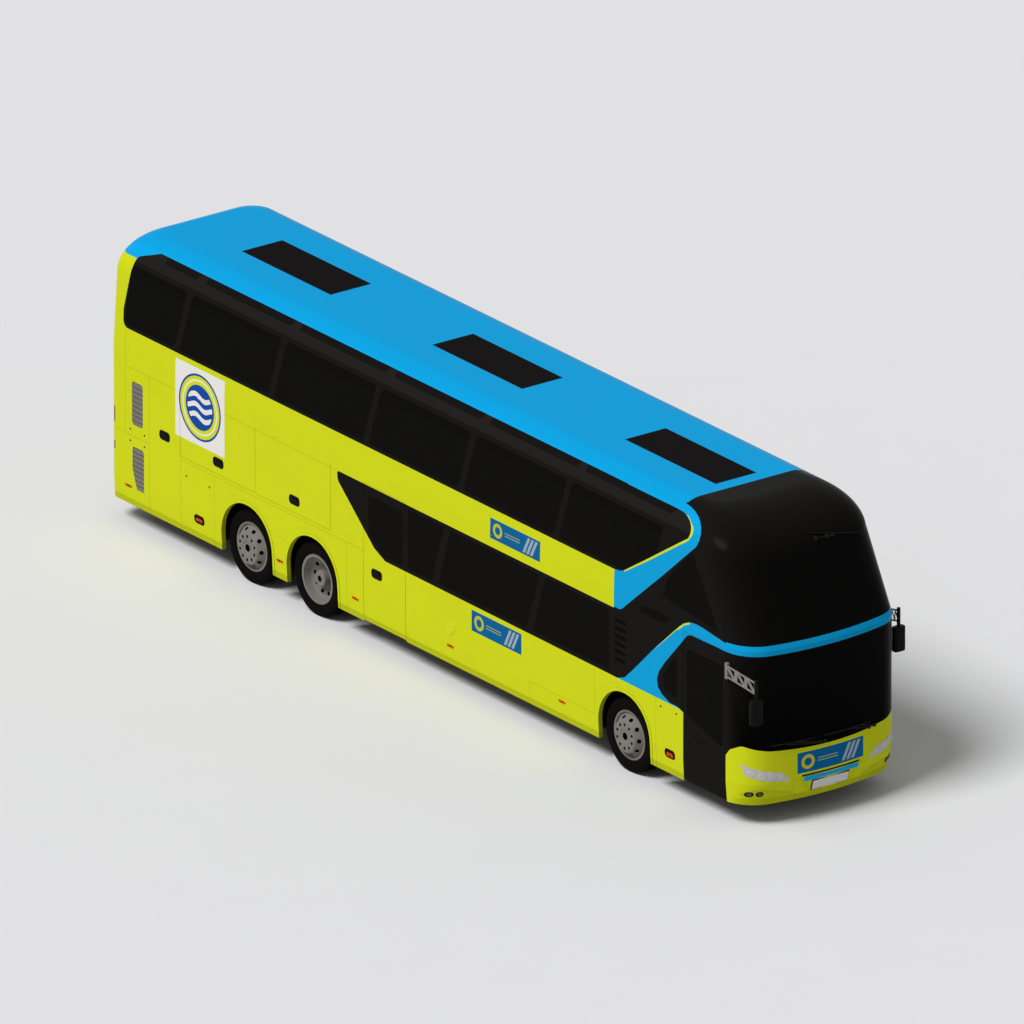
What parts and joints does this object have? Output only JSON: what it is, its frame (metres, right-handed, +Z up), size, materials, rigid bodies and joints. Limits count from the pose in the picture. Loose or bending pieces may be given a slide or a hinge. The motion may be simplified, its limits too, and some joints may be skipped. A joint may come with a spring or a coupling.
{
  "type": "double-deck coach bus",
  "caption": "Three-axle double-deck touring coach with raked wrap-round windscreens, flush dark glazing, opening doors, luggage flaps and steering front wheels.",
  "frame": {"origin": "on the ground under the middle of the overall length and width, mirrors included", "axes": "+X forward along the coach, +Y to its left, +Z up"},
  "size_m": [14.257, 2.92, 4],
  "materials": {
    "body_paint": "gloss",
    "roof_paint": "gloss",
    "tinted_glass": "gloss",
    "door_frame": "satin",
    "rubber_tyre": "matt",
    "rim_metal": "satin",
    "frame_metal": "satin",
    "axle_metal": "cast",
    "engine_metal": "cast",
    "floor_cover": "matt",
    "seat_fabric": "woven",
    "console_plastic": "grained",
    "grille_metal": "satin",
    "clear_lamp": "gloss",
    "amber_lamp": "gloss",
    "red_lamp": "gloss",
    "black_plastic": "satin"
  },
  "bodies": {
    "coach": {"chassis_frame": "frame_metal", "axle_front": "axle_metal", "axles_rear": "axle_metal", "wall_right": "body_paint", "wall_left": "body_paint", "roof_panel": "roof_paint", "rear_wall": "body_paint", "rear_glass": "tinted_glass", "front_bumper": "body_paint", "front_belt": "roof_paint", "windscreen_lower": "tinted_glass", "windscreen_upper": "tinted_glass", "side_glass_right": "tinted_glass", "side_glass_left": "tinted_glass", "skylights": "tinted_glass", "deck_lower": "floor_cover", "deck_upper": "floor_cover", "seats": "seat_fabric", "dashboard": "console_plastic", "engine": "engine_metal", "grilles": "grille_metal", "headlamps": "clear_lamp", "tail_lamps": "red_lamp", "mirrors": "black_plastic", "wheel_houses": "black_plastic", "marker_lamps": "amber_lamp", "louvres": "black_plastic"},
    "knuckle_right": {"knuckle_right": "axle_metal"},
    "front_wheel_right": {"tyre_front_right": "rubber_tyre", "rim_front_right": "rim_metal"},
    "drive_wheels_right": {"tyres_drive_right": "rubber_tyre", "rims_drive_right": "rim_metal"},
    "tag_wheel_right": {"tyre_tag_right": "rubber_tyre", "rim_tag_right": "rim_metal"},
    "flap_front_right": {"flap_front_right": "body_paint"},
    "flap_rear_right": {"flap_rear_right": "body_paint"},
    "knuckle_left": {"knuckle_left": "axle_metal"},
    "front_wheel_left": {"tyre_front_left": "rubber_tyre", "rim_front_left": "rim_metal"},
    "drive_wheels_left": {"tyres_drive_left": "rubber_tyre", "rims_drive_left": "rim_metal"},
    "tag_wheel_left": {"tyre_tag_left": "rubber_tyre", "rim_tag_left": "rim_metal"},
    "flap_front_left": {"flap_front_left": "body_paint"},
    "flap_rear_left": {"flap_rear_left": "body_paint"},
    "arms_front": {"arms_front": "frame_metal"},
    "door_front": {"door_front": "door_frame", "door_front_pane": "tinted_glass"},
    "arms_rear": {"arms_rear": "frame_metal"},
    "door_rear": {"door_rear": "body_paint", "door_rear_pane": "tinted_glass"},
    "engine_lid": {"engine_lid": "body_paint"}
  },
  "joints": [
    {"name": "steer_right", "type": "hinge", "parent": "coach", "child": "knuckle_right", "pos_m": [4.125, -0.975, 0.505], "axis": [0, 0, 1], "range_deg": [-40, 40]},
    {"name": "front_wheel_spin_right", "type": "hinge", "parent": "knuckle_right", "child": "front_wheel_right", "pos_m": [4.125, -1.065, 0.505], "axis": [0, 1, 0], "continuous": true},
    {"name": "drive_wheels_spin_right", "type": "hinge", "parent": "coach", "child": "drive_wheels_right", "pos_m": [-2.645, -1.065, 0.505], "axis": [0, 1, 0], "continuous": true},
    {"name": "tag_wheel_spin_right", "type": "hinge", "parent": "coach", "child": "tag_wheel_right", "pos_m": [-4.075, -1.065, 0.505], "axis": [0, 1, 0], "continuous": true},
    {"name": "steer_left", "type": "hinge", "parent": "coach", "child": "knuckle_left", "pos_m": [4.125, 0.975, 0.505], "axis": [0, 0, 1], "range_deg": [-40, 40]},
    {"name": "front_wheel_spin_left", "type": "hinge", "parent": "knuckle_left", "child": "front_wheel_left", "pos_m": [4.125, 1.065, 0.505], "axis": [0, 1, 0], "continuous": true},
    {"name": "drive_wheels_spin_left", "type": "hinge", "parent": "coach", "child": "drive_wheels_left", "pos_m": [-2.645, 1.065, 0.505], "axis": [0, 1, 0], "continuous": true},
    {"name": "tag_wheel_spin_left", "type": "hinge", "parent": "coach", "child": "tag_wheel_left", "pos_m": [-4.075, 1.065, 0.505], "axis": [0, 1, 0], "continuous": true},
    {"name": "arms_front_swing", "type": "hinge", "parent": "coach", "child": "arms_front", "pos_m": [6.235, -1.155, 1.2], "axis": [0, 0, 1], "range_deg": [0, 100]},
    {"name": "door_front_turn", "type": "hinge", "parent": "arms_front", "child": "door_front", "pos_m": [5.615, -1.155, 1.2], "axis": [0, 0, 1], "range_deg": [-100, 0]},
    {"name": "arms_rear_swing", "type": "hinge", "parent": "coach", "child": "arms_rear", "pos_m": [-0.67, -1.155, 1.2], "axis": [0, 0, 1], "range_deg": [0, 100]},
    {"name": "door_rear_turn", "type": "hinge", "parent": "arms_rear", "child": "door_rear", "pos_m": [-1.29, -1.155, 1.2], "axis": [0, 0, 1], "range_deg": [-100, 0]},
    {"name": "flap_front_right_lift", "type": "hinge", "parent": "coach", "child": "flap_front_right", "pos_m": [-3.07, -1.275, 2.262], "axis": [-1, 0, 0], "range_deg": [0, 85]},
    {"name": "flap_rear_right_lift", "type": "hinge", "parent": "coach", "child": "flap_rear_right", "pos_m": [-4.72, -1.275, 2.262], "axis": [-1, 0, 0], "range_deg": [0, 85]},
    {"name": "flap_front_left_lift", "type": "hinge", "parent": "coach", "child": "flap_front_left", "pos_m": [-3.07, 1.275, 2.262], "axis": [1, 0, 0], "range_deg": [0, 85]},
    {"name": "flap_rear_left_lift", "type": "hinge", "parent": "coach", "child": "flap_rear_left", "pos_m": [-4.72, 1.275, 2.262], "axis": [1, 0, 0], "range_deg": [0, 85]},
    {"name": "engine_lid_lift", "type": "hinge", "parent": "coach", "child": "engine_lid", "pos_m": [-7.125, 0, 1.9], "axis": [0, 1, 0], "range_deg": [0, 75]}
  ],
  "couplings": [
    {"joint": "steer_left", "follows": "steer_right", "ratio": 1},
    {"joint": "door_front_turn", "follows": "arms_front_swing", "ratio": -1},
    {"joint": "door_rear_turn", "follows": "arms_rear_swing", "ratio": -1}
  ]
}
